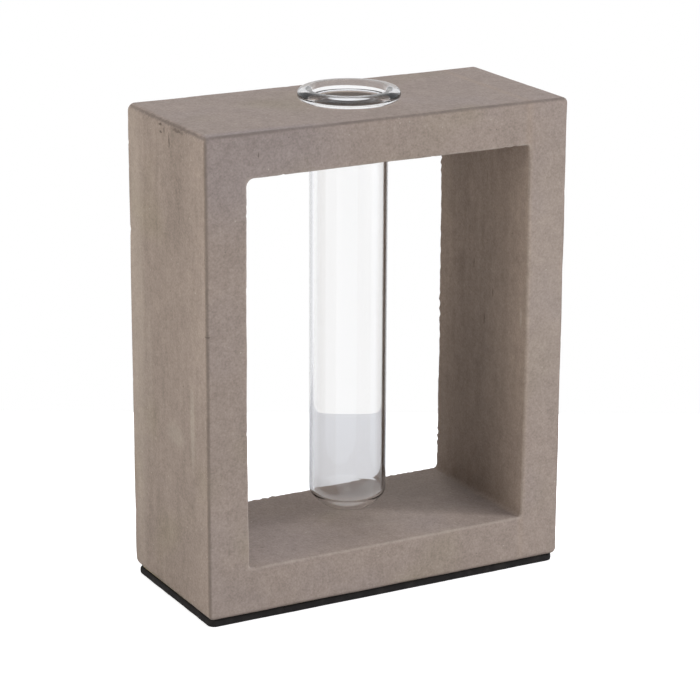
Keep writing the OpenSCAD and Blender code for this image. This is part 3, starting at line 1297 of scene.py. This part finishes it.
camera_data = bpy.data.cameras.new("camera")
camera_data.lens = LENS_MM
camera_data.sensor_width = SENSOR_MM
camera = scene_object("camera", camera_data)
camera_back = sight(CAMERA_AZIMUTH, CAMERA_ELEVATION)
look_along(camera, CAMERA_TARGET + camera_back * CAMERA_DISTANCE, camera_back, CAMERA_ROLL)
bpy.context.scene.camera = camera
print("camera at", [round(v / MM) for v in camera.matrix_world.translation])

# %% [markdown]
# ## The table and the white behind it
#
# The photograph's surroundings are pure white, but the glass tells more: through the tube
# one sees a pale grey table top that ends not far behind the vase, and white above it. So
# the floor is a table with a far edge. The glass sees its grey, and a glow that only the
# camera sees brings it up to white, apart from the vase's soft shadow.

# %% Build the table
TABLE_BEHIND = 156 * MM
TABLE_AHEAD = 900 * MM
TABLE_HALF_WIDTH = 900 * MM
TABLE_GREY = (0.74, 0.74, 0.75, 1)
CAMERA_GLOW = 0.75
WHITE = (1, 1, 1, 1)


def table_object():
    away = -np.array([camera_back[0], camera_back[1]])
    away = away / np.linalg.norm(away)
    side = np.array([away[1], -away[0]]) * TABLE_HALF_WIDTH
    far, near = away * TABLE_BEHIND, -away * TABLE_AHEAD
    mesh = bpy.data.meshes.new("table")
    corners = [(x, y, 0) for x, y in (far + side, far - side, near - side, near + side)]
    mesh.from_pydata(corners, [], [(0, 1, 2, 3)])
    return scene_object("table", mesh)


def finish_table(material):
    tree, shader, _ = start_material(material)
    camera_ray = place(tree, "ShaderNodeLightPath").outputs["Is Camera Ray"]
    glow = weigh(tree, camera_ray, CAMERA_GLOW)
    connect(tree, shader, {"Base Color": TABLE_GREY, "Roughness": 0.9, "Specular IOR Level": 0.1})
    connect(tree, shader, {"Emission Color": WHITE, "Emission Strength": glow})


table = table_object()
table_finish = bpy.data.materials.new("table_top")
finish_table(table_finish)
table.data.materials.append(table_finish)
print("table's far edge is", round(TABLE_BEHIND / MM), "mm behind the vase")

# %% [markdown]
# ## Light
#
# The concrete tells where the light was. Its front grows brighter towards the right, so a
# large soft lamp stood in front on the right, and a weaker one on the left, which also
# lights the wall inside the window that faces left. The left side is nearly as bright as
# the front, so it has a lamp of its own, and so has the right side. The lamp behind is for
# the back, which the photograph doesn't show. A small key lamp high on the right draws the
# window's shadow across the sill, and the top has a large cool lamp above it. The edges
# between these faces stay darker than the faces, because little light comes from where the
# camera stands.
#
# No lamp shows in the glass. The world gives no light of its own: it is white to the camera,
# and to the glass it is white ahead and behind, and a little darker to the sides, which
# draws the tube's outline.

# %% Lamps and surroundings
VASE_MIDDLE = np.array([0, 0, 80]) * MM

# Each lamp: azimuth and elevation in degrees, distance and size in millimetres, the
# brightness of its face, and its colour.
LAMPS = {
    "key": (54.8, 65.8, 1300, 70, 190, (1, 1, 1)),
    "front_right": (45, 5, 900, 500, 7.6, (1, 1, 1)),
    "front_left": (-50, 8, 900, 500, 1.6, (1, 0.92, 0.84)),
    "right": (95, 5, 900, 500, 4.3, (1, 1, 1)),
    "left": (-88, 20, 700, 311, 7.2, (1, 0.97, 0.9)),
    "behind": (165, 22, 900, 500, 5.6, (0.97, 0.98, 1)),
    "above": (0, 80, 900, 600, 2.65, (0.82, 0.87, 1)),
}

for name, (azimuth, elevation, distance, size, brightness, colour) in LAMPS.items():
    data = bpy.data.lights.new(name, "AREA")
    data.shape = "SQUARE"
    side = size * MM
    data.size = side
    data.energy = brightness * side * side * math.pi
    data.color = colour
    lamp = scene_object(name, data)
    lamp.visible_transmission = False
    lamp.visible_glossy = False
    back = sight(math.radians(azimuth), math.radians(elevation))
    look_along(lamp, VASE_MIDDLE + back * distance * MM, back)

UNLIT = (0, 0, 0, 1)
ROOM_SIDES = (0.92, 0.93, 0.96, 1)
AHEAD = (0.7, 0.86)


def surroundings():
    """A world that is white to the camera and nearly so to the glass, and dark to everything else."""
    world = bpy.data.worlds.new("surroundings")
    world.use_nodes = True
    tree = world.node_tree
    tree.nodes.clear()
    path = place(tree, "ShaderNodeLightPath").outputs
    way = place(tree, "ShaderNodeTexCoord").outputs["Generated"]
    level_back = (camera_back[0], camera_back[1], 0)
    along = sums(tree, "ABSOLUTE", vectors(tree, "DOT_PRODUCT", way, level_back, output="Value"))
    seen_by_glass = tint(tree, share_of(tree, along, *AHEAD), ROOM_SIDES, WHITE)
    by_glass = sums(tree, "MAXIMUM", path["Is Glossy Ray"], path["Is Transmission Ray"])
    colour = tint(tree, by_glass, UNLIT, seen_by_glass)
    colour = tint(tree, path["Is Camera Ray"], colour, WHITE)
    background = place(tree, "ShaderNodeBackground", {"Color": colour, "Strength": 1.0})
    place(tree, "ShaderNodeOutputWorld", {0: background.outputs[0]})
    bpy.context.scene.world = world


surroundings()
bpy.context.scene.view_settings.view_transform = "Standard"
print("lamps:", list(LAMPS))
